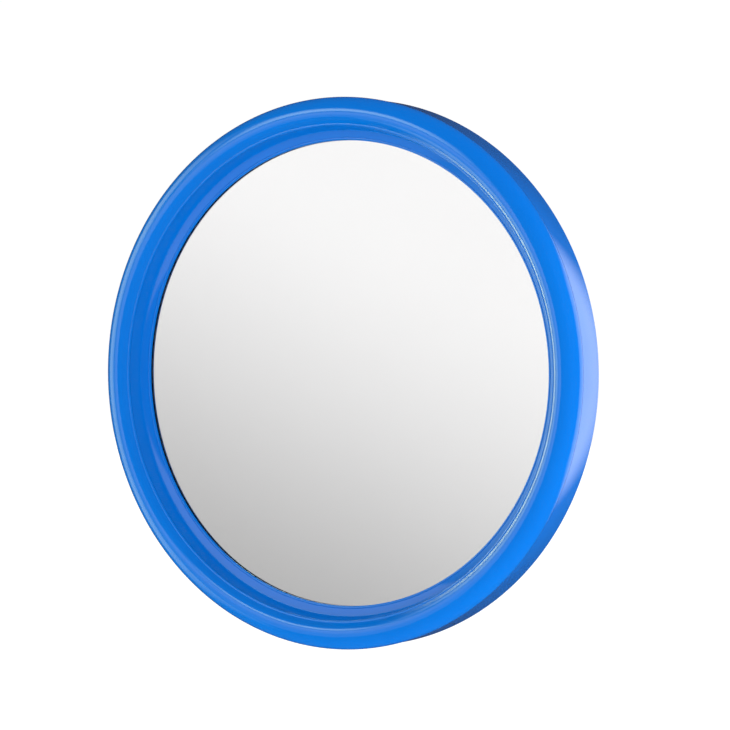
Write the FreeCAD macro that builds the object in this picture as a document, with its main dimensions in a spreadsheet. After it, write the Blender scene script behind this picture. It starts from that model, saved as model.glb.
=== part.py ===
"""Round wall mirror with a deep moulded plastic frame, as a parametric FreeCAD document.

The mirror's axis is Y: the face looks along -Y, the wall is on the +Y side, and Z is up.  The origin is
the centre of the whole part.  Sketches measure radius along X and depth behind the crown of the lip
along Y, and each body is then moved forward by half of the overall depth.
"""
import FreeCAD
import Part
import math
import os

import Sketcher

DIMENSIONS = {
    # overall
    "outer_radius": 250.0,
    "overall_depth": 50.0,
    "skirt_end": 48.0,
    "wall": 2.5,
    # the skirt, and how the lip overhangs it
    "skirt_back_radius": 248.4,
    "overhang": 2.6,
    "underlip_radius": 8.0,
    # the lip, from its widest place over the crown to the bead at its inner edge
    "shoulder_radius": 14.5,
    "roll_radius": 10.0,
    "roll_angle": 48.0,
    "bead_start_radius": 225.6,
    "bead_start_depth": 6.0,
    "bead_end_radius": 224.2,
    "bead_end_depth": 8.6,
    "bead_radius": 1.5,
    # the recess wall and the ledge in front of the glass
    "recess_foot_radius": 220.9,
    "recess_foot_depth": 19.6,
    "cove_radius": 1.6,
    "ledge_start_radius": 219.6,
    "ledge_start_depth": 20.9,
    "ledge_end_radius": 213.6,
    "ledge_end_depth": 22.6,
    "rim_radius": 1.7,
    "opening_radius": 211.0,
    "opening_edge_depth": 24.1,
    "ledge_back_depth": 24.5,
    "pocket_radius": 220.0,
    "pocket_wall_radius": 222.8,
    "pocket_end": 31.3,
    # what lies in the pocket, from the front
    "gasket_inner_radius": 211.6,
    "glass_radius": 219.0,
    "glass_depth": 24.9,
    "glass_thickness": 2.0,
    "ground_edge": 0.4,
    "coat_thickness": 0.2,
    "cushion_thickness": 1.3,
    "board_thickness": 3.0,
    # ribs and bosses inside the hollow lip
    "boss_circle": 235.0,
    "boss_top_depth": 2.3,
    "rib_angle": 0.5,
    "rib_count": 24.0,
    "rib_end": 30.0,
    "rib_bite": 0.6,
    "button_count": 6.0,
    "button_boss_radius": 4.5,
    "pilot_radius": 1.4,
    "pilot_depth": 14.0,
    "bumper_count": 4.0,
    "bumper_boss_radius": 5.5,
    "bumper_boss_end": 47.0,
    "bumper_hole_radius": 2.1,
    # turn buttons and what holds them
    "button_gap": 0.1,
    "button_thickness": 1.6,
    "button_half_width": 6.0,
    "button_reach": 27.0,
    "button_lug_height": 5.0,
    "button_lug_half_width": 4.5,
    "button_lug_thickness": 1.6,
    "button_hole_radius": 2.1,
    "washer_thickness": 0.5,
    "washer_radius": 4.2,
    "washer_hole_radius": 2.2,
    "screw_shank_radius": 2.0,
    "screw_core_radius": 1.35,
    "screw_length": 12.0,
    "screw_head_radius": 3.8,
    "screw_head_height": 2.2,
    "screw_head_edge": 0.9,
    "drive_half_length": 2.0,
    "drive_half_width": 0.45,
    "drive_depth": 1.2,
    # rubber wall bumpers
    "bumper_radius": 6.5,
    "bumper_edge": 1.0,
    "bumper_stem_radius": 2.0,
    "bumper_stem_length": 8.0,
    # keyhole hanger plate
    "plate_half_width": 30.0,
    "plate_bottom": 226.5,
    "plate_top": 242.5,
    "plate_corner": 4.0,
    "plate_depth": 44.5,
    "plate_thickness": 1.5,
    "plate_screw_x": 22.0,
    "plate_screw_z": 234.0,
    "plate_hole_radius": 2.2,
    "keyhole_radius": 4.5,
    "keyhole_z": 232.5,
    "slot_half_width": 2.3,
    "slot_top": 238.2,
}

GEOMETRY_END = 2
ORIGIN = -1

doc = FreeCAD.newDocument("wall_mirror")


def make_sheet():
    """The spreadsheet of driving dimensions: names in column A, plain numbers with aliases in column B."""
    sheet = doc.addObject("Spreadsheet::Sheet", "dims")
    for row, (alias, number) in enumerate(DIMENSIONS.items(), start=1):
        sheet.set(f"A{row}", alias)
        sheet.set(f"B{row}", str(number))
        sheet.setAlias(f"B{row}", alias)
    doc.recompute()
    return sheet


dims = make_sheet()


def bind(text):
    """A formula in the sheet's aliases, written with the sheet's name before each of them."""
    words = []
    for word in text.split():
        words.append(f"dims.{word}" if word in DIMENSIONS else word)
    return " ".join(words)


def value(text):
    """What a formula comes to, in millimetres or degrees."""
    return float(dims.evalExpression(bind(text)))


def plane(body, role):
    """One of the origin planes or axes of a body, such as XY_Plane."""
    return next(f for f in body.Origin.OriginFeatures if f.Role == role)


def new_body(label):
    """A body that stands half of the overall depth in front of the origin."""
    body = doc.addObject("PartDesign::Body", label)
    body.Label = label
    body.AllowCompound = True
    body.setExpression("Placement.Base.y", bind("0 - overall_depth / 2"))
    return body


def turned_body(label, angle):
    """A body made on the +X side and turned about the mirror's axis, from +X towards +Z."""
    body = new_body(label)
    body.Placement = FreeCAD.Placement(
        FreeCAD.Vector(0, -value("overall_depth") / 2, 0),
        FreeCAD.Rotation(FreeCAD.Vector(0, 1, 0), -angle),
    )
    return body


def new_sketch(body, name, role="XY_Plane", depth=None):
    """A sketch on an origin plane of its body.  On XZ_Plane it lies at a depth and faces the front."""
    sketch = body.newObject("Sketcher::SketchObject", name)
    sketch.AttachmentSupport = [(plane(body, role), "")]
    sketch.MapMode = "FlatFace"
    if depth is not None:
        sketch.setExpression("AttachmentOffset.Base.z", bind(f"0 - ( {depth} )"))
    return sketch


def constrain(sketch, kind, *where, size):
    """Adds a dimension to a sketch and binds it to a formula."""
    index = sketch.addConstraint(Sketcher.Constraint(kind, *where, value(size)))
    sketch.setExpression(f"Constraints[{index}]", bind(size))


def edge_between(start, end, radius, side):
    """A line, or the shorter arc of a radius that bulges to the left (+1) or right (-1) of its way."""
    if radius is None:
        return Part.LineSegment(start, end)
    chord = end - start
    half = chord.Length / 2
    rise = radius - math.sqrt(max(radius * radius - half * half, 0.0))
    left = FreeCAD.Vector(-chord.y, chord.x, 0).normalize()
    return Part.Arc(start, (start + end) / 2 + left * rise * side, end)


def outline(sketch, corners):
    """A closed outline.  A corner is (x, y), or (x, y, radius, side) where an arc runs to the next one."""
    points = [FreeCAD.Vector(value(c[0]), value(c[1]), 0) for c in corners]
    ends = []
    for i, corner in enumerate(corners):
        start, end = points[i], points[(i + 1) % len(points)]
        radius, side = (value(corner[2]), corner[3]) if len(corner) == 4 else (None, 0)
        index = sketch.addGeometry(edge_between(start, end, radius, side), False)
        first = 1 if sketch.getPoint(index, 1).distanceToPoint(start) < 1e-6 else GEOMETRY_END
        ends.append((index, first, 3 - first))
    for i, (index, first, last) in enumerate(ends):
        following, its_first, _ = ends[(i + 1) % len(ends)]
        sketch.addConstraint(Sketcher.Constraint("Coincident", index, last, following, its_first))
    for corner, (index, first, _) in zip(corners, ends):
        constrain(sketch, "DistanceX", ORIGIN, 1, index, first, size=corner[0])
        constrain(sketch, "DistanceY", ORIGIN, 1, index, first, size=corner[1])
        if len(corner) == 4:
            constrain(sketch, "Radius", index, size=corner[2])


def circle(sketch, x, y, radius):
    """A circle with its centre and radius bound to formulas."""
    centre = FreeCAD.Vector(value(x), value(y), 0)
    index = sketch.addGeometry(Part.Circle(centre, FreeCAD.Vector(0, 0, 1), value(radius)), False)
    constrain(sketch, "DistanceX", ORIGIN, 1, index, 3, size=x)
    constrain(sketch, "DistanceY", ORIGIN, 1, index, 3, size=y)
    constrain(sketch, "Radius", index, size=radius)


def rectangle(sketch, low_x, low_y, high_x, high_y):
    """A closed rectangle between two corners."""
    outline(sketch, [(low_x, low_y), (high_x, low_y), (high_x, high_y), (low_x, high_y)])


def feature(body, kind, name, profile):
    """A PartDesign feature made from a sketch."""
    made = body.newObject(f"PartDesign::{kind}", name)
    made.Profile = profile
    profile.Visibility = False
    return made


def revolve(body, name, profile, axis="V_Axis", angle=None, kind="Revolution"):
    """A full turn of a profile, or the given angle of it, half to each side."""
    made = feature(body, kind, name, profile)
    made.ReferenceAxis = (profile, [axis])
    made.Angle = 360.0
    if angle is not None:
        made.setExpression("Angle", bind(angle))
        made.Midplane = True
    return made


def pad(body, name, profile, length, towards_wall=False):
    """A pad from a sketch, towards the front unless it says otherwise."""
    made = feature(body, "Pad", name, profile)
    made.setExpression("Length", bind(length))
    made.Reversed = towards_wall
    return made


def pocket(body, name, profile, length):
    """A cut from a sketch towards the front, checked to have removed material."""
    doc.recompute()
    before = body.Shape.Volume
    made = feature(body, "Pocket", name, profile)
    made.setExpression("Length", bind(length))
    made.Reversed = True
    doc.recompute()
    if body.Shape.Volume >= before - 1e-3:
        raise RuntimeError(f"{name} cuts nothing")
    return made


def repeat(body, name, features, count):
    """A polar pattern of some features about the mirror's axis."""
    made = body.newObject("PartDesign::PolarPattern", name)
    made.Originals = features
    made.Axis = (plane(body, "Y_Axis"), [""])
    made.Angle = 360.0
    made.setExpression("Occurrences", bind(count))
    body.Tip = made
    return made


def disc(label, radius, front, back, edge=None):
    """A round sheet between two depths, with both rims chamfered if an edge is given."""
    body = new_body(label)
    sketch = new_sketch(body, f"{label}_section")
    if edge is None:
        rectangle(sketch, "0", front, radius, back)
    else:
        outline(sketch, [
            ("0", front), (f"{radius} - {edge}", front), (radius, f"{front} + {edge}"),
            (radius, f"{back} - {edge}"), (f"{radius} - {edge}", back), ("0", back),
        ])
    revolve(body, f"{label}_turned", sketch)
    return body


def boss(body, name, radius, end, turn_count):
    """Round bosses that stand in the hollow lip, from under the crown to a depth, on the boss circle."""
    sketch = new_sketch(body, f"{name}_outline", "XZ_Plane", end)
    circle(sketch, "boss_circle", "0", radius)
    made = pad(body, name, sketch, f"( {end} ) - boss_top_depth")
    return repeat(body, f"{name}_ring", [made], turn_count)


def boss_holes(body, name, radius, end, length, turn_count):
    """Blind holes in the bosses, from their rear ends."""
    doc.recompute()
    before = body.Shape.Volume
    sketch = new_sketch(body, f"{name}_outline", "XZ_Plane", end)
    circle(sketch, "boss_circle", "0", radius)
    made = pocket(body, name, sketch, length)
    repeat(body, f"{name}_ring", [made], turn_count)
    doc.recompute()
    if body.Shape.Volume > before - 3 * math.pi * value(radius) ** 2 * value(length):
        raise RuntimeError(f"{name} is not repeated")


BOARD_BACK = "glass_depth + glass_thickness + coat_thickness + cushion_thickness + board_thickness"
CROWN_RADIUS = "outer_radius - shoulder_radius"
SKIRT_FRONT = "outer_radius - overhang"
UNDERLIP_DEPTH = "shoulder_radius + sqrt( overhang * ( 2 * underlip_radius - overhang ) )"
ROLL_END = f"{CROWN_RADIUS} - roll_radius * sin( roll_angle )"
ROLL_END_DEPTH = "roll_radius * ( 1 - cos( roll_angle ) )"
ROLL_BACK = f"{CROWN_RADIUS} - ( roll_radius - wall ) * sin( roll_angle )"
ROLL_BACK_DEPTH = "wall + ( roll_radius - wall ) * ( 1 - cos( roll_angle ) )"


def frame_shell():
    """The moulded frame: skirt, rolled lip, bead, recess wall, ledge and the pocket wall behind it."""
    body = new_body("frame_shell")
    section = new_sketch(body, "frame_section")
    outline(section, [
        ("skirt_back_radius", "skirt_end"),
        (SKIRT_FRONT, UNDERLIP_DEPTH, "underlip_radius", 1),
        ("outer_radius", "shoulder_radius", "shoulder_radius", 1),
        (CROWN_RADIUS, "0", "roll_radius", 1),
        (ROLL_END, ROLL_END_DEPTH),
        ("bead_start_radius", "bead_start_depth", "bead_radius", 1),
        ("bead_end_radius", "bead_end_depth"),
        ("recess_foot_radius", "recess_foot_depth", "cove_radius", -1),
        ("ledge_start_radius", "ledge_start_depth"),
        ("ledge_end_radius", "ledge_end_depth", "rim_radius", 1),
        ("opening_radius", "opening_edge_depth"),
        ("opening_radius", "ledge_back_depth"),
        ("pocket_radius", "ledge_back_depth"),
        ("pocket_radius", "pocket_end"),
        ("pocket_wall_radius", "pocket_end"),
        ("pocket_wall_radius", "ledge_back_depth"),
        ("recess_foot_radius + wall", "recess_foot_depth"),
        ("bead_end_radius + wall", "bead_end_depth"),
        (ROLL_BACK, ROLL_BACK_DEPTH, "roll_radius - wall", -1),
        (CROWN_RADIUS, "wall", "shoulder_radius - wall", -1),
        ("outer_radius - wall", "shoulder_radius"),
        (f"{SKIRT_FRONT} - wall", UNDERLIP_DEPTH),
        ("skirt_back_radius - wall", "skirt_end"),
    ])
    revolve(body, "frame_turned", section)
    rib_section = new_sketch(body, "rib_section")
    outline(rib_section, [
        (f"{CROWN_RADIUS}", "wall - rib_bite", "shoulder_radius - wall + rib_bite", -1),
        ("outer_radius - wall + rib_bite", "shoulder_radius"),
        (f"{SKIRT_FRONT} - wall + rib_bite", UNDERLIP_DEPTH),
        ("skirt_back_radius - wall", "rib_end"),
        ("pocket_wall_radius - rib_bite", "rib_end"),
        ("pocket_wall_radius - rib_bite", "ledge_back_depth"),
        ("recess_foot_radius + wall - rib_bite", "recess_foot_depth"),
        ("bead_end_radius + wall - rib_bite", "bead_end_depth"),
        (f"{ROLL_BACK} - rib_bite", ROLL_BACK_DEPTH),
    ])
    rib = revolve(body, "rib", rib_section, angle="rib_angle")
    repeat(body, "rib_ring", [rib], "rib_count")
    boss(body, "button_boss", "button_boss_radius", BOARD_BACK, "button_count")
    boss_holes(body, "button_pilot", "pilot_radius", BOARD_BACK, "pilot_depth", "button_count")
    add_bumper_bosses(body)
    add_plate_bosses(body)
    return body


def add_bumper_bosses(body):
    """Four bosses midway between the axes, each with a hole for a bumper's stem."""
    sketch = new_sketch(body, "bumper_boss_outline", "XZ_Plane", "bumper_boss_end")
    diagonal = "boss_circle * sqrt( 0.5 )"
    for x, z in ((1, 1), (-1, 1), (-1, -1), (1, -1)):
        circle(sketch, f"{x} * {diagonal}", f"{z} * {diagonal}", "bumper_boss_radius")
    pad(body, "bumper_bosses", sketch, "bumper_boss_end - boss_top_depth")
    holes = new_sketch(body, "bumper_hole_outline", "XZ_Plane", "bumper_boss_end")
    for x, z in ((1, 1), (-1, 1), (-1, -1), (1, -1)):
        circle(holes, f"{x} * {diagonal}", f"{z} * {diagonal}", "bumper_hole_radius")
    pocket(body, "bumper_holes", holes, "bumper_stem_length + 1")


def add_plate_bosses(body):
    """Two bosses at the top that carry the hanger plate."""
    sketch = new_sketch(body, "plate_boss_outline", "XZ_Plane", "plate_depth")
    holes = new_sketch(body, "plate_pilot_outline", "XZ_Plane", "plate_depth")
    for side in ("plate_screw_x", "0 - plate_screw_x"):
        circle(sketch, side, "plate_screw_z", "button_boss_radius")
        circle(holes, side, "plate_screw_z", "pilot_radius")
    pad(body, "plate_bosses", sketch, "plate_depth - boss_top_depth")
    pocket(body, "plate_pilots", holes, "pilot_depth")


def glass_gasket():
    """The thin foam ring between the ledge and the glass."""
    body = new_body("glass_gasket")
    sketch = new_sketch(body, "gasket_section")
    rectangle(sketch, "gasket_inner_radius", "ledge_back_depth", "glass_radius", "glass_depth")
    revolve(body, "gasket_turned", sketch)
    return body


def glazing_stack():
    """Glass, its silvering, the cushion sheet and the hardboard back, one behind the other."""
    coat = "glass_depth + glass_thickness"
    cushion = f"{coat} + coat_thickness"
    board = f"{cushion} + cushion_thickness"
    return [
        disc("mirror_glass", "glass_radius", "glass_depth", coat, "ground_edge"),
        disc("silver_coat", "glass_radius - ground_edge", coat, cushion),
        disc("cushion_sheet", "glass_radius", cushion, board),
        disc("backing_board", "glass_radius", board, BOARD_BACK, "ground_edge"),
    ]


def turn_button(number):
    """A flat tab that turns on its screw and holds the board in, with a lug to push it round."""
    count = round(value("button_count"))
    body = turned_body(f"turn_button_{number}", 360.0 / count * (number - 1))
    front = f"{BOARD_BACK} + button_gap"
    back = f"{front} + button_thickness"
    plan = new_sketch(body, f"button_plan_{number}", "XZ_Plane", back)
    tip = "boss_circle - button_reach + button_half_width"
    outline(plan, [
        ("boss_circle", "0 - button_half_width", "button_half_width", -1),
        ("boss_circle + button_half_width", "0", "button_half_width", -1),
        ("boss_circle", "button_half_width"),
        (tip, "button_half_width", "button_half_width", -1),
        ("boss_circle - button_reach", "0", "button_half_width", -1),
        (tip, "0 - button_half_width"),
    ])
    circle(plan, "boss_circle", "0", "button_hole_radius")
    pad(body, f"button_tab_{number}", plan, "button_thickness")
    lug = new_sketch(body, f"button_lug_plan_{number}", "XZ_Plane", f"{back} + button_lug_height")
    lug_edge = f"{tip} + button_half_width / 2"
    rectangle(
        lug, f"{lug_edge} - button_lug_thickness", "0 - button_lug_half_width",
        lug_edge, "button_lug_half_width",
    )
    pad(body, f"button_lug_{number}", lug, "button_lug_height + button_thickness / 2")
    return body


def screw_section(body, name, seat, shank):
    """Half of a pan-head screw: its head's underside is at the depth seat, and it points to the front."""
    sketch = new_sketch(body, f"{name}_section")
    x = "boss_circle"
    outline(sketch, [
        (x, f"{seat} + screw_head_height"),
        (f"{x} + screw_head_radius - screw_head_edge", f"{seat} + screw_head_height",
         "screw_head_edge", 1),
        (f"{x} + screw_head_radius", f"{seat} + screw_head_height - screw_head_edge"),
        (f"{x} + screw_head_radius", seat),
        (f"{x} + screw_shank_radius", seat),
        (f"{x} + screw_shank_radius", f"{seat} - ( {shank} )"),
        (f"{x} + screw_core_radius", f"{seat} - ( {shank} )"),
        (f"{x} + screw_core_radius", f"{seat} - ( {shank} ) - screw_length + screw_core_radius"),
        (x, f"{seat} - ( {shank} ) - screw_length"),
    ])
    axis = sketch.addGeometry(
        Part.LineSegment(
            FreeCAD.Vector(value(x), 0, 0), FreeCAD.Vector(value(x), value("overall_depth"), 0)
        ),
        True,
    )
    sketch.addConstraint(Sketcher.Constraint("Vertical", axis))
    constrain(sketch, "DistanceX", ORIGIN, 1, axis, 1, size=x)
    return sketch


def drive_recess(body, name, seat):
    """The cross recess in a screw's head, on the boss circle at +X."""
    cuts = []
    for turn, (long_x, long_z) in enumerate((("drive_half_length", "drive_half_width"),
                                             ("drive_half_width", "drive_half_length"))):
        sketch = new_sketch(
            body, f"{name}_{turn}_outline", "XZ_Plane", f"{seat} + screw_head_height"
        )
        rectangle(
            sketch, f"boss_circle - {long_x}", f"0 - {long_z}", f"boss_circle + {long_x}", long_z
        )
        cuts.append(pocket(body, f"{name}_{turn}", sketch, "drive_depth"))
    return cuts


def pivot_screws():
    """The screws that the turn buttons turn on, as one group."""
    seat = f"{BOARD_BACK} + button_gap * 3 + button_thickness + washer_thickness"
    body = new_body("pivot_screws")
    shank = f"{seat} - ( {BOARD_BACK} )"
    sketch = screw_section(body, "pivot_screw", seat, shank)
    turned = revolve(body, "pivot_screw_turned", sketch, "Axis0")
    recess = drive_recess(body, "pivot_drive", seat)
    repeat(body, "pivot_screw_ring", [turned, *recess], "button_count")
    return body


def pivot_washers():
    """The washers under the screws' heads, as one group."""
    body = new_body("pivot_washers")
    back = f"{BOARD_BACK} + button_gap * 2 + button_thickness + washer_thickness"
    sketch = new_sketch(body, "washer_plan", "XZ_Plane", back)
    circle(sketch, "boss_circle", "0", "washer_radius")
    circle(sketch, "boss_circle", "0", "washer_hole_radius")
    washer = pad(body, "washer", sketch, "washer_thickness")
    repeat(body, "washer_ring", [washer], "button_count")
    return body


def hanger_plate():
    """The pressed steel plate with a keyhole, at the top of the back."""
    body = new_body("hanger_plate")
    plan = new_sketch(body, "plate_plan", "XZ_Plane", "plate_depth + plate_thickness")
    left = "0 - plate_half_width"
    outline(plan, [
        (f"{left} + plate_corner", "plate_bottom"),
        ("plate_half_width - plate_corner", "plate_bottom", "plate_corner", -1),
        ("plate_half_width", "plate_bottom + plate_corner"),
        ("plate_half_width", "plate_top - plate_corner", "plate_corner", -1),
        ("plate_half_width - plate_corner", "plate_top"),
        (f"{left} + plate_corner", "plate_top", "plate_corner", -1),
        (left, "plate_top - plate_corner"),
        (left, "plate_bottom + plate_corner", "plate_corner", -1),
    ])
    for side in ("plate_screw_x", "0 - plate_screw_x"):
        circle(plan, side, "plate_screw_z", "plate_hole_radius")
    pad(body, "plate", plan, "plate_thickness")
    entry = new_sketch(body, "keyhole_entry", "XZ_Plane", "plate_depth + plate_thickness")
    circle(entry, "0", "keyhole_z", "keyhole_radius")
    pocket(body, "keyhole", entry, "plate_thickness")
    slot = new_sketch(body, "keyhole_slot", "XZ_Plane", "plate_depth + plate_thickness")
    outline(slot, [
        ("0 - slot_half_width", "keyhole_z"),
        ("slot_half_width", "keyhole_z"),
        ("slot_half_width", "slot_top", "slot_half_width", -1),
        ("0", "slot_top + slot_half_width", "slot_half_width", -1),
        ("0 - slot_half_width", "slot_top"),
    ])
    pocket(body, "slot", slot, "plate_thickness")
    return body


def hanger_screws():
    """The two screws of the hanger plate, as one group."""
    seat = "plate_depth + plate_thickness"
    body = new_body("hanger_screw_form")
    sketch = screw_section(body, "hanger_screw", seat, "plate_thickness")
    revolve(body, "hanger_screw_turned", sketch, "Axis0")
    drive_recess(body, "hanger_drive", seat)
    doc.recompute()
    copies = []
    for side in (1, -1):
        copy = body.Shape.copy()
        copy.translate(FreeCAD.Vector(
            side * value("plate_screw_x") - value("boss_circle"), 0, value("plate_screw_z")
        ))
        copies.append(copy)
    group = doc.addObject("Part::Feature", "hanger_screws")
    group.Label = "hanger_screws"
    group.Shape = Part.makeCompound([solid for copy in copies for solid in copy.Solids])
    group.Placement = FreeCAD.Placement()
    return group


def wall_bumper(number):
    """A rubber foot with a stem that is pushed into its boss."""
    body = turned_body(f"wall_bumper_{number}", 45.0 + 90.0 * (number - 1))
    sketch = new_sketch(body, f"bumper_section_{number}")
    x = "boss_circle"
    outline(sketch, [
        (x, "overall_depth"),
        (f"{x} + bumper_radius - bumper_edge", "overall_depth", "bumper_edge", 1),
        (f"{x} + bumper_radius", "overall_depth - bumper_edge"),
        (f"{x} + bumper_radius", "bumper_boss_end"),
        (f"{x} + bumper_stem_radius", "bumper_boss_end"),
        (f"{x} + bumper_stem_radius", "bumper_boss_end - bumper_stem_length"),
        (x, "bumper_boss_end - bumper_stem_length"),
    ])
    axis = sketch.addGeometry(
        Part.LineSegment(
            FreeCAD.Vector(value(x), 0, 0), FreeCAD.Vector(value(x), value("overall_depth"), 0)
        ),
        True,
    )
    sketch.addConstraint(Sketcher.Constraint("Vertical", axis))
    constrain(sketch, "DistanceX", ORIGIN, 1, axis, 1, size=x)
    revolve(body, f"bumper_turned_{number}", sketch, "Axis0")
    return body


def check_document():
    """Stops if any object of the document failed to compute."""
    for obj in doc.Objects:
        if "Invalid" in obj.State or "Error" in obj.State:
            raise RuntimeError(f"{obj.Label} failed: {obj.State}")


def export(parts):
    """Writes each sub-part's shape to parts/, after testing it."""
    os.makedirs("parts", exist_ok=True)
    for part in parts:
        if part.Shape.isNull() or not part.Shape.isValid():
            raise RuntimeError(f"{part.Label} has no valid shape")
    for part in parts:
        part.Shape.exportStep(os.path.join("parts", f"{part.Label}.step"))
        print(part.Label, len(part.Shape.Solids), "solids", round(part.Shape.Volume / 1000.0, 2), "cm3")


def main():
    parts = [frame_shell(), glass_gasket(), *glazing_stack()]
    parts += [turn_button(n + 1) for n in range(round(value("button_count")))]
    parts += [pivot_screws(), pivot_washers(), hanger_plate(), hanger_screws()]
    parts += [wall_bumper(n + 1) for n in range(round(value("bumper_count")))]
    doc.recompute()
    check_document()
    export(parts)


main()
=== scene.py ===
"""A round wall mirror in a deep blue plastic frame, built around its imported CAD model.

Y is the mirror's axis: the glass faces -Y and the wall is on the +Y side.  Profiles are lists of
(radius, depth) in millimetres, where depth is measured from the crown of the lip towards the wall.
"""

import math

import bmesh
import bpy
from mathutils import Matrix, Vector


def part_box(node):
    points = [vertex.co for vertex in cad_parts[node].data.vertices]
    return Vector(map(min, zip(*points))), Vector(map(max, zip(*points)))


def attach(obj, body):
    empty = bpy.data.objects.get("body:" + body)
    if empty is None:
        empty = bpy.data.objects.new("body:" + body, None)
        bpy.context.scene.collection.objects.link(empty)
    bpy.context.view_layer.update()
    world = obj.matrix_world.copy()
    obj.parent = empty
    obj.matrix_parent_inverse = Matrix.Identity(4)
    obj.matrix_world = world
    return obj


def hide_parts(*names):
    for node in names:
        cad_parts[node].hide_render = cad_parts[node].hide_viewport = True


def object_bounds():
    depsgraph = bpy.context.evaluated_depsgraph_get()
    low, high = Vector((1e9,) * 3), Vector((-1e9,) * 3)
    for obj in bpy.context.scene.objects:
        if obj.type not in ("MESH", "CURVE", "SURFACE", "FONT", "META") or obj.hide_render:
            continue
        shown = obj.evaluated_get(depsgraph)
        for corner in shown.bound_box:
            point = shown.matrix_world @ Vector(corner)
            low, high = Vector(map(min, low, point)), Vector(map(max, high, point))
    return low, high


MM = 0.001
BODY = "mirror"
SEGMENTS = 384

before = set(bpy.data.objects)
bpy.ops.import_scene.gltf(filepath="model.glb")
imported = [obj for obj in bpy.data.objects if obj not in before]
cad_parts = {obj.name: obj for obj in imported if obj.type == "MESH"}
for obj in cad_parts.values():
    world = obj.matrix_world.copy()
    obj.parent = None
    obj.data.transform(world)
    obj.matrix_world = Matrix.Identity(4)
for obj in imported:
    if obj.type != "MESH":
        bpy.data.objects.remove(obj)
cad_low, cad_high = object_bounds()
CROWN_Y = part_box("frame_shell")[0].y
GLASS_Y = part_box("mirror_glass")[0].y
BOARD_BACK = (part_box("backing_board")[1].y - CROWN_Y) / MM

# the frame's sizes in millimetres, which match its CAD model
OUTER = 250.0
WALL = 2.5
SKIRT_END = 48.0
OPENING = 211.0
LEDGE_BACK = 24.5
POCKET = 220.0
POCKET_WALL = 222.8
POCKET_END = 31.3
RIB_COUNT = 24
RIB_THICKNESS = 2.0
BOSS_CIRCLE = 235.0
BUTTON_COUNT = 6
BUMPER_COUNT = 4
PLATE_SCREW_X, PLATE_SCREW_Z = 22.0, 234.0
SILVER_RADIUS = 218.6
SILVER_GAP = 0.05

# how bright the world is to the camera, to what it lights and in the mirror, and in other gloss
WORLD_SEEN = 1.02
WORLD_LIGHT = 0.80
WORLD_GLOSS = 0.04
# the largest Ray Depth that still gets WORLD_LIGHT: a look into the mirror meets five surfaces, which are
# both faces of the glass, the silver and both faces again, but by trial 5 leaves it dark and 6 doesn't
MIRROR_DEPTH = 6


# ---------------------------------------------------------------- shapes

def bulge(start, end, radius, side, steps):
    """Points of the shorter arc from start to end that bulges left (+1) or right (-1) of its way."""
    chord = Vector(end) - Vector(start)
    half = chord.length / 2
    rise = radius - math.sqrt(max(radius * radius - half * half, 0.0))
    left = Vector((-chord.y, chord.x)).normalized() * side
    centre = (Vector(start) + Vector(end)) / 2 + left * (rise - radius)
    first = Vector(start) - centre
    sweep = -2 * math.asin(min(half / radius, 1.0)) * side
    points = []
    for i in range(steps + 1):
        turn = sweep * i / steps
        c, s = math.cos(turn), math.sin(turn)
        points.append((centre.x + first.x * c - first.y * s, centre.y + first.x * s + first.y * c))
    return points


def mesh_object(name, bm, sharp_angle=38.0):
    """A mesh object from bm, smooth except at edges sharper than an angle."""
    bmesh.ops.remove_doubles(bm, verts=bm.verts, dist=1e-6)
    bmesh.ops.recalc_face_normals(bm, faces=bm.faces)
    for face in bm.faces:
        face.smooth = True
    for edge in bm.edges:
        if edge.is_manifold and edge.calc_face_angle() > math.radians(sharp_angle):
            edge.smooth = False
    mesh = bpy.data.meshes.new(name)
    bm.to_mesh(mesh)
    bm.free()
    obj = bpy.data.objects.new(name, mesh)
    bpy.context.collection.objects.link(obj)
    return obj


def add_lathe(bm, profile, segments, centre=(0.0, 0.0)):
    """Turns a closed (radius, depth) profile about an axis along Y that passes through centre (x, z)."""
    rings = []
    for i in range(segments):
        turn = 2 * math.pi * i / segments
        c, s = math.cos(turn), math.sin(turn)
        rings.append([
            bm.verts.new((
                (centre[0] + radius * c) * MM, CROWN_Y + depth * MM, (centre[1] + radius * s) * MM
            ))
            for radius, depth in profile
        ])
    count = len(profile)
    for i, ring in enumerate(rings):
        following = rings[(i + 1) % segments]
        for j in range(count):
            k = (j + 1) % count
            if profile[j][0] < 1e-9 and profile[k][0] < 1e-9:
                continue
            corners = [ring[j], ring[k], following[k], following[j]]
            if profile[j][0] < 1e-9:
                corners = [ring[j], ring[k], following[k]]
            elif profile[k][0] < 1e-9:
                corners = [ring[j], ring[k], following[j]]
            bm.faces.new(corners)


def add_slab(bm, outline, thickness, turn):
    """A flat plate from a (radius, depth) outline, half its thickness to each side, turned about Y."""
    c, s = math.cos(turn), math.sin(turn)
    sides = []
    for half in (-thickness / 2, thickness / 2):
        sides.append([
            bm.verts.new((
                (radius * c - half * s) * MM, CROWN_Y + depth * MM, (radius * s + half * c) * MM
            ))
            for radius, depth in outline
        ])
    bm.faces.new(sides[0])
    bm.faces.new(reversed(sides[1]))
    for j in range(len(outline)):
        k = (j + 1) % len(outline)
        bm.faces.new([sides[0][j], sides[1][j], sides[1][k], sides[0][k]])


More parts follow.
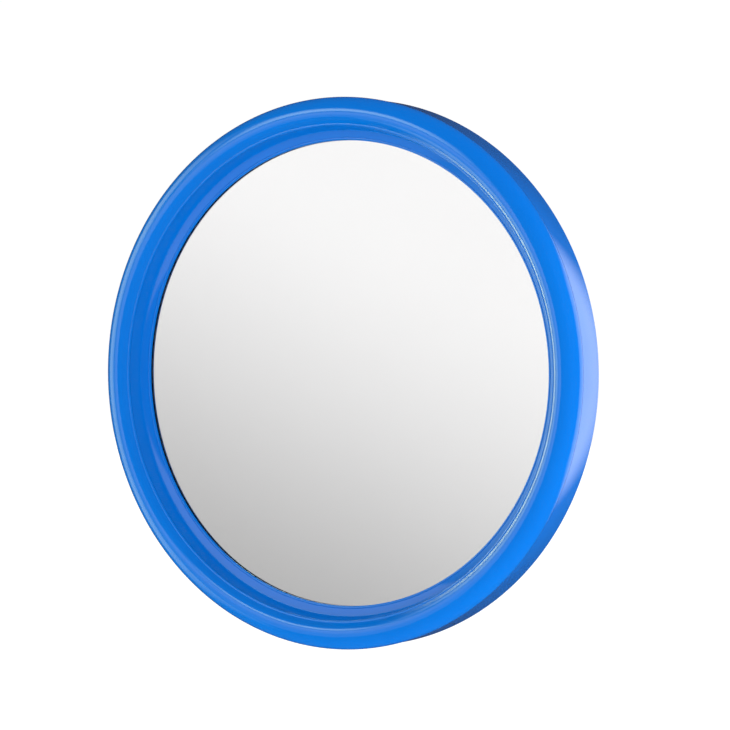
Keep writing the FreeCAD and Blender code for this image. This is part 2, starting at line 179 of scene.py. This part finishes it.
def frame_profile():
    """The frame's section, from the rear rim round the lip and the ledge to the inside of the skirt."""
    skirt_back, skirt_front, underlip = 248.4, 247.4, 20.39
    shoulder, roll = 14.5, 10.0
    crown = OUTER - shoulder
    turn = math.radians(48.0)
    roll_end = (crown - roll * math.sin(turn), roll * (1 - math.cos(turn)))
    inner_roll = roll - WALL
    back_roll_end = (crown - inner_roll * math.sin(turn), WALL + inner_roll * (1 - math.cos(turn)))
    profile = [
        (skirt_back - 0.7, SKIRT_END), (skirt_back - 0.2, SKIRT_END - 0.2), (skirt_back, SKIRT_END - 0.7),
    ]
    profile += [(skirt_front, underlip + 0.6)]
    profile += bulge((skirt_front + 0.25, underlip - 0.4), (OUTER, shoulder), 8.0, 1, 14)
    profile += bulge((OUTER, shoulder), (crown, 0.0), shoulder, 1, 32)[1:]
    profile += bulge((crown, 0.0), roll_end, roll, 1, 20)[1:]
    profile += bulge((225.6, 6.0), (224.2, 8.6), 1.5, 1, 12)
    profile += bulge((220.9, 19.6), (219.6, 20.9), 1.6, -1, 8)
    profile += bulge((213.6, 22.6), (OPENING, 24.1), 1.7, 1, 12)
    profile += [(OPENING, LEDGE_BACK), (POCKET, LEDGE_BACK), (POCKET, POCKET_END)]
    profile += [(POCKET_WALL, POCKET_END), (POCKET_WALL, LEDGE_BACK)]
    profile += [(223.4, 19.6), (226.7, 8.6)]
    profile += bulge(back_roll_end, (crown, WALL), inner_roll, -1, 10)
    profile += bulge((crown, WALL), (OUTER - WALL, shoulder), shoulder - WALL, -1, 14)[1:]
    profile += [(skirt_front - WALL, underlip), (skirt_back - WALL, SKIRT_END)]
    return profile


def build_frame():
    """The moulded shell, turned finely enough for its gloss."""
    bm = bmesh.new()
    add_lathe(bm, frame_profile(), SEGMENTS)
    return mesh_object("frame_moulding", bm)


def build_ribs():
    """The thin ribs inside the hollow lip."""
    outline = [
        (235.5, 2.0), (241.5, 3.6), (246.0, 8.0), (247.6, 14.5), (245.4, 20.4), (245.3, 30.0),
        (222.4, 30.0), (222.4, 24.5), (223.0, 19.6), (226.2, 8.6), (229.4, 5.0),
    ]
    bm = bmesh.new()
    for i in range(RIB_COUNT):
        add_slab(bm, outline, RIB_THICKNESS, 2 * math.pi * i / RIB_COUNT)
    return mesh_object("frame_ribs", bm)


def boss_profile(radius, end, hole, depth):
    """A round boss with a blind hole in its rear end, and a rounded rim."""
    return [
        (0.0, 2.4), (radius, 2.4), (radius, end - 0.5), (radius - 0.15, end - 0.15),
        (radius - 0.5, end), (hole + 0.3, end), (hole, end - 0.3), (hole, end - depth),
        (0.0, end - depth),
    ]


def on_boss_circle(count, first=0.0):
    """Evenly spaced places (x, z) on the circle of the bosses, from the angle first."""
    turns = [first + 2 * math.pi * i / count for i in range(count)]
    return [(BOSS_CIRCLE * math.cos(turn), BOSS_CIRCLE * math.sin(turn)) for turn in turns]


def build_bosses():
    """The bosses for the turn buttons, the bumpers and the hanger plate."""
    bm = bmesh.new()
    for place in on_boss_circle(BUTTON_COUNT):
        add_lathe(bm, boss_profile(radius=4.5, end=BOARD_BACK, hole=1.4, depth=14.0), 40, place)
    for place in on_boss_circle(BUMPER_COUNT, math.pi / BUMPER_COUNT):
        add_lathe(bm, boss_profile(radius=5.5, end=47.0, hole=2.1, depth=9.0), 48, place)
    for x in (-PLATE_SCREW_X, PLATE_SCREW_X):
        add_lathe(bm, boss_profile(radius=4.5, end=44.5, hole=1.4, depth=14.0), 40, (x, PLATE_SCREW_Z))
    return mesh_object("frame_bosses", bm)


def build_silver():
    """The bright layer just behind the glass."""
    back = (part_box("silver_coat")[1].y - CROWN_Y) / MM
    front = (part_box("silver_coat")[0].y - CROWN_Y) / MM + SILVER_GAP
    bm = bmesh.new()
    add_lathe(bm, [(0.0, front), (SILVER_RADIUS, front), (SILVER_RADIUS, back), (0.0, back)], SEGMENTS)
    return mesh_object("silver_layer", bm)


# ---------------------------------------------------------------- materials

def new_material(name):
    """A node material, its node tree and its Principled shader."""
    material = bpy.data.materials.new(name)
    material.use_nodes = True
    tree = material.node_tree
    return material, tree, tree.nodes["Principled BSDF"]


def calculate(tree, operation, first, second):
    """The output of a Math node whose two inputs are sockets or numbers."""
    node = tree.nodes.new("ShaderNodeMath")
    node.operation = operation
    for socket, source in zip(node.inputs, (first, second)):
        if isinstance(source, (int, float)):
            socket.default_value = source
        else:
            tree.links.new(source, socket)
    return node.outputs["Value"]


def noise(tree, scale, detail=3.0):
    """Noise in the object's own coordinates."""
    coords = tree.nodes.new("ShaderNodeTexCoord")
    texture = tree.nodes.new("ShaderNodeTexNoise")
    texture.inputs["Scale"].default_value = scale
    texture.inputs["Detail"].default_value = detail
    tree.links.new(coords.outputs["Object"], texture.inputs["Vector"])
    return texture


def ramp(tree, source, stops):
    """A colour ramp driven by a noise's Fac: stops are (position, colour)."""
    node = tree.nodes.new("ShaderNodeValToRGB")
    for i, (position, colour) in enumerate(stops):
        element = node.color_ramp.elements[i] if i < 2 else node.color_ramp.elements.new(position)
        element.position = position
        element.color = (*colour, 1.0)
    tree.links.new(source.outputs["Fac"], node.inputs["Fac"])
    return node


def spread(tree, source, low, high):
    """A noise's middle range stretched to low..high."""
    node = tree.nodes.new("ShaderNodeMapRange")
    node.inputs["From Min"].default_value = 0.3
    node.inputs["From Max"].default_value = 0.7
    node.inputs["To Min"].default_value = low
    node.inputs["To Max"].default_value = high
    tree.links.new(source.outputs["Fac"], node.inputs["Value"])
    return node


def bump(tree, shader, source, strength, distance):
    """A fine relief from a noise."""
    node = tree.nodes.new("ShaderNodeBump")
    node.inputs["Strength"].default_value = strength
    node.inputs["Distance"].default_value = distance
    tree.links.new(source.outputs["Fac"], node.inputs["Height"])
    tree.links.new(node.outputs["Normal"], shader.inputs["Normal"])


def mottled(name, dark, light, rough, scale, relief=0.0, metallic=0.0):
    """A surface whose colour and roughness vary gently, with a fine relief if asked."""
    material, tree, shader = new_material(name)
    cloud = noise(tree, scale)
    colour = ramp(tree, cloud, [(0.35, dark), (0.65, light)])
    tree.links.new(colour.outputs["Color"], shader.inputs["Base Color"])
    gloss = spread(tree, cloud, rough[0], rough[1])
    tree.links.new(gloss.outputs["Result"], shader.inputs["Roughness"])
    shader.inputs["Metallic"].default_value = metallic
    if relief:
        bump(tree, shader, noise(tree, scale * 12), 0.5, relief)
    return material


def blue_plastic():
    """Glossy moulded plastic: a deep blue with a faint relief, under a clear coat."""
    material, tree, shader = new_material("blue_plastic")
    cloud = noise(tree, 9.0)
    colour = ramp(tree, cloud, [(0.3, (0.0, 0.176, 0.725)), (0.7, (0.0, 0.190, 0.765))])
    tree.links.new(colour.outputs["Color"], shader.inputs["Base Color"])
    gloss = spread(tree, noise(tree, 40.0), 0.20, 0.27)
    tree.links.new(gloss.outputs["Result"], shader.inputs["Roughness"])
    shader.inputs["Specular IOR Level"].default_value = 0.05
    shader.inputs["Coat Weight"].default_value = 1.0
    shader.inputs["Coat IOR"].default_value = 1.6
    shader.inputs["Coat Roughness"].default_value = 0.05
    bump(tree, shader, noise(tree, 60.0, 1.0), 0.04, 0.0004)
    return material


def clear_glass():
    """Clear glass, smooth, with a tint that hardly varies."""
    material, tree, shader = new_material("clear_glass")
    tint = ramp(tree, noise(tree, 3.0), [(0.3, (0.985, 0.985, 0.985)), (0.7, (0.99, 0.99, 0.99))])
    tree.links.new(tint.outputs["Color"], shader.inputs["Base Color"])
    shader.inputs["Transmission Weight"].default_value = 1.0
    shader.inputs["Roughness"].default_value = 0.0
    shader.inputs["IOR"].default_value = 1.52
    return material


def silvering():
    """Bright silver."""
    material, tree, shader = new_material("silvering")
    tone = ramp(tree, noise(tree, 4.0), [(0.3, (0.925, 0.92, 0.92)), (0.7, (0.935, 0.93, 0.93))])
    tree.links.new(tone.outputs["Color"], shader.inputs["Base Color"])
    shader.inputs["Metallic"].default_value = 1.0
    shader.inputs["Roughness"].default_value = 0.0
    return material


def paint(material, *nodes):
    """Gives a material to CAD nodes or pieces."""
    for node in nodes:
        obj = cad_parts[node] if isinstance(node, str) else node
        if not obj.data.materials:
            obj.data.materials.append(material)
        for slot in obj.material_slots:
            slot.material = material


# ---------------------------------------------------------------- stage

def card(name, direction, distance, width, height, shader_maker):
    """A glowing sheet that faces the mirror's centre and that the camera doesn't see."""
    bm = bmesh.new()
    bmesh.ops.create_grid(bm, x_segments=1, y_segments=1, size=0.5)
    obj = mesh_object(name, bm)
    obj.scale = (width, height, 1.0)
    azimuth, elevation = math.radians(direction[0]), math.radians(direction[1])
    toward = Vector((
        math.sin(azimuth) * math.cos(elevation),
        -math.cos(azimuth) * math.cos(elevation),
        math.sin(elevation),
    ))
    obj.location = toward * distance
    obj.rotation_mode = "QUATERNION"
    obj.rotation_quaternion = toward.to_track_quat("Z", "Y")
    obj.visible_camera = False
    obj.data.materials.append(shader_maker(name))
    return obj


def glow(strength_low, strength_high, slope, soft_edge=0.0, tint=(1.0, 1.0, 1.0)):
    """A maker of emission materials that rise from low to high in the sheet's own plane.

    slope is (across, up, start, end): how the level goes with place, and where its rise starts and ends.
    soft_edge is how much of each half of the sheet fades to nothing at its rim, and tint is the colour
    of its light.
    """
    def make(name):
        material = bpy.data.materials.new(f"{name}_glow")
        material.use_nodes = True
        tree = material.node_tree
        tree.nodes.clear()
        coords = tree.nodes.new("ShaderNodeTexCoord")
        dot = tree.nodes.new("ShaderNodeVectorMath")
        dot.operation = "DOT_PRODUCT"
        dot.inputs[1].default_value = (slope[0], slope[1], 0.0)
        level = tree.nodes.new("ShaderNodeMapRange")
        level.interpolation_type = "SMOOTHSTEP"
        level.inputs["From Min"].default_value = slope[2]
        level.inputs["From Max"].default_value = slope[3]
        level.inputs["To Min"].default_value = strength_low
        level.inputs["To Max"].default_value = strength_high
        emission = tree.nodes.new("ShaderNodeEmission")
        emission.inputs["Color"].default_value = (*tint, 1.0)
        output = tree.nodes.new("ShaderNodeOutputMaterial")
        tree.links.new(coords.outputs["Object"], dot.inputs[0])
        tree.links.new(dot.outputs["Value"], level.inputs["Value"])
        strength = level.outputs["Result"]
        if soft_edge:
            size = tree.nodes.new("ShaderNodeVectorMath")
            size.operation = "ABSOLUTE"
            apart = tree.nodes.new("ShaderNodeSeparateXYZ")
            tree.links.new(coords.outputs["Object"], size.inputs[0])
            tree.links.new(size.outputs["Vector"], apart.inputs["Vector"])
            fade = tree.nodes.new("ShaderNodeMapRange")
            fade.interpolation_type = "SMOOTHSTEP"
            fade.inputs["From Min"].default_value = 0.5
            fade.inputs["From Max"].default_value = 0.5 - soft_edge / 2
            away = calculate(tree, "MAXIMUM", apart.outputs["X"], apart.outputs["Y"])
            tree.links.new(away, fade.inputs["Value"])
            strength = calculate(tree, "MULTIPLY", strength, fade.outputs["Result"])
        tree.links.new(strength, emission.inputs["Strength"])
        tree.links.new(emission.outputs["Emission"], output.inputs["Surface"])
        return material
    return make


def build_world():
    """White to the camera, and bright in the mirror and to what it lights.

    In the gloss of the other surfaces, and for light deeper than MIRROR_DEPTH, it is a dim room.
    """
    world = bpy.data.worlds.new("studio")
    bpy.context.scene.world = world
    world.use_nodes = True
    tree = world.node_tree
    background = tree.nodes["Background"]
    path = tree.nodes.new("ShaderNodeLightPath")
    deep = calculate(tree, "GREATER_THAN", path.outputs["Ray Depth"], MIRROR_DEPTH + 0.5)
    gloss = calculate(
        tree, "SUBTRACT", path.outputs["Is Glossy Ray"], path.outputs["Is Transmission Ray"]
    )
    gloss.node.use_clamp = True
    unseen = tree.nodes.new("ShaderNodeMapRange")
    unseen.inputs["To Min"].default_value = WORLD_LIGHT
    unseen.inputs["To Max"].default_value = WORLD_GLOSS
    tree.links.new(calculate(tree, "MAXIMUM", gloss, deep), unseen.inputs["Value"])
    mix = tree.nodes.new("ShaderNodeMix")
    tree.links.new(path.outputs["Is Camera Ray"], mix.inputs["Factor"])
    tree.links.new(unseen.outputs["Result"], mix.inputs["A"])
    mix.inputs["B"].default_value = WORLD_SEEN
    tree.links.new(mix.outputs["Result"], background.inputs["Strength"])
    background.inputs["Color"].default_value = (1.0, 1.0, 1.0, 1.0)


def build_floor():
    """A pale, faintly glowing floor well below the mirror, which neither gloss nor the mirror shows."""
    reach, drop, own_glow = 30.0, 0.9, 0.45
    bm = bmesh.new()
    bmesh.ops.create_grid(bm, x_segments=4, y_segments=4, size=reach)
    floor = mesh_object("floor", bm)
    floor.location.z = cad_low.z - drop
    material, tree, shader = new_material("pale_floor")
    tone = ramp(tree, noise(tree, 0.5), [(0.3, (0.93, 0.93, 0.93)), (0.7, (0.96, 0.96, 0.96))])
    tree.links.new(tone.outputs["Color"], shader.inputs["Base Color"])
    shader.inputs["Roughness"].default_value = 0.9
    shader.inputs["Emission Color"].default_value = (1.0, 1.0, 1.0, 1.0)
    shader.inputs["Emission Strength"].default_value = own_glow
    floor.data.materials.append(material)
    floor.visible_glossy = False
    floor.visible_transmission = False


def build_camera():
    """Level with the mirror, to the right of its axis, with the mirror a little left of the middle."""
    yaw, pitch = math.radians(31.1), math.radians(0.8)
    distance, aside, above, lens = 4.08, 0.0180, 0.0074, 221.9
    back = Vector((
        math.sin(yaw) * math.cos(pitch), -math.cos(yaw) * math.cos(pitch), math.sin(pitch)
    ))
    turn = (-back).to_track_quat("-Z", "Y")
    camera = bpy.data.objects.new("camera", bpy.data.cameras.new("camera"))
    bpy.context.collection.objects.link(camera)
    camera.data.lens = lens
    camera.data.sensor_width = 36.0
    camera.rotation_mode = "QUATERNION"
    camera.rotation_quaternion = turn
    aim = Vector((0.0, GLASS_Y, 0.0))
    camera.location = aim + back * distance + turn @ Vector((aside, above, 0.0))
    bpy.context.scene.camera = camera


def build_stage():
    """The world, the floor and the cards, whose directions are (azimuth, elevation) in degrees from -Y.

    The two fills only light surfaces, and the ledge card only shows in reflections.
    """
    bpy.context.scene.view_settings.view_transform = "Standard"
    build_world()
    build_floor()
    up = (0.0, 1.0, -0.5, 0.5)
    pale_cyan = (0.80, 1.0, 0.70)
    card("front_card", (-29.0, 0.0), 1.4, 0.8, 1.5, glow(0.45, 1.04, (0.16, 0.64, -0.21, 0.072)))
    card("band_card", (-68.0, 0.0), 1.6, 1.5, 2.8, glow(2.0, 2.4, up, 0.7, pale_cyan))
    card("side_card", (141.0, 0.0), 1.6, 1.9, 2.1, glow(1.4, 1.4, up, 0.4))
    ledge = card("ledge_card", (-31.0, 28.0), 1.2, 1.1, 0.52, glow(3.6, 3.6, up, 0.9, pale_cyan))
    ledge.visible_diffuse = False
    fills = (("right_fill", (115.0, 25.0), 1.35), ("recess_fill", (74.0, 6.0), 1.9))
    for name, direction, strength in fills:
        fill = card(name, direction, 1.6, 1.4, 2.0, glow(strength, strength, up))
        fill.visible_glossy = False
        fill.visible_transmission = False


# ---------------------------------------------------------------- the object

def build_object():
    """The pieces that replace CAD nodes, and the materials of every piece and node."""
    plastic = blue_plastic()
    pieces = [build_frame(), build_ribs(), build_bosses()]
    for piece in pieces:
        paint(plastic, piece)
        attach(piece, BODY)
    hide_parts("frame_shell")
    paint(clear_glass(), "mirror_glass")
    silver = build_silver()
    paint(silvering(), silver)
    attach(silver, BODY)
    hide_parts("silver_coat")
    paint(mottled("gasket_foam", (0.004, 0.016, 0.060), (0.008, 0.026, 0.090), (0.7, 0.9), 300.0, 0.0002),
          "glass_gasket")
    paint(mottled("cushion_foam", (0.45, 0.45, 0.43), (0.62, 0.62, 0.60), (0.85, 0.95), 400.0, 0.0003),
          "cushion_sheet")
    paint(mottled("hardboard", (0.205, 0.118, 0.057), (0.265, 0.155, 0.080), (0.5, 0.75), 650.0, 0.0001),
          "backing_board")
    paint(mottled("button_plastic", (0.02, 0.02, 0.022), (0.035, 0.035, 0.04), (0.4, 0.55), 250.0, 0.0001),
          *[f"turn_button_{n}" for n in range(1, BUTTON_COUNT + 1)])
    paint(mottled("zinc_steel", (0.55, 0.54, 0.5), (0.68, 0.68, 0.66), (0.28, 0.42), 180.0, 0.00005, 1.0),
          "pivot_screws", "pivot_washers", "hanger_plate", "hanger_screws")
    paint(mottled("rubber", (0.012, 0.012, 0.012), (0.025, 0.025, 0.025), (0.6, 0.8), 260.0, 0.0001),
          *[f"wall_bumper_{n}" for n in range(1, BUMPER_COUNT + 1)])


build_camera()
build_stage()
build_object()
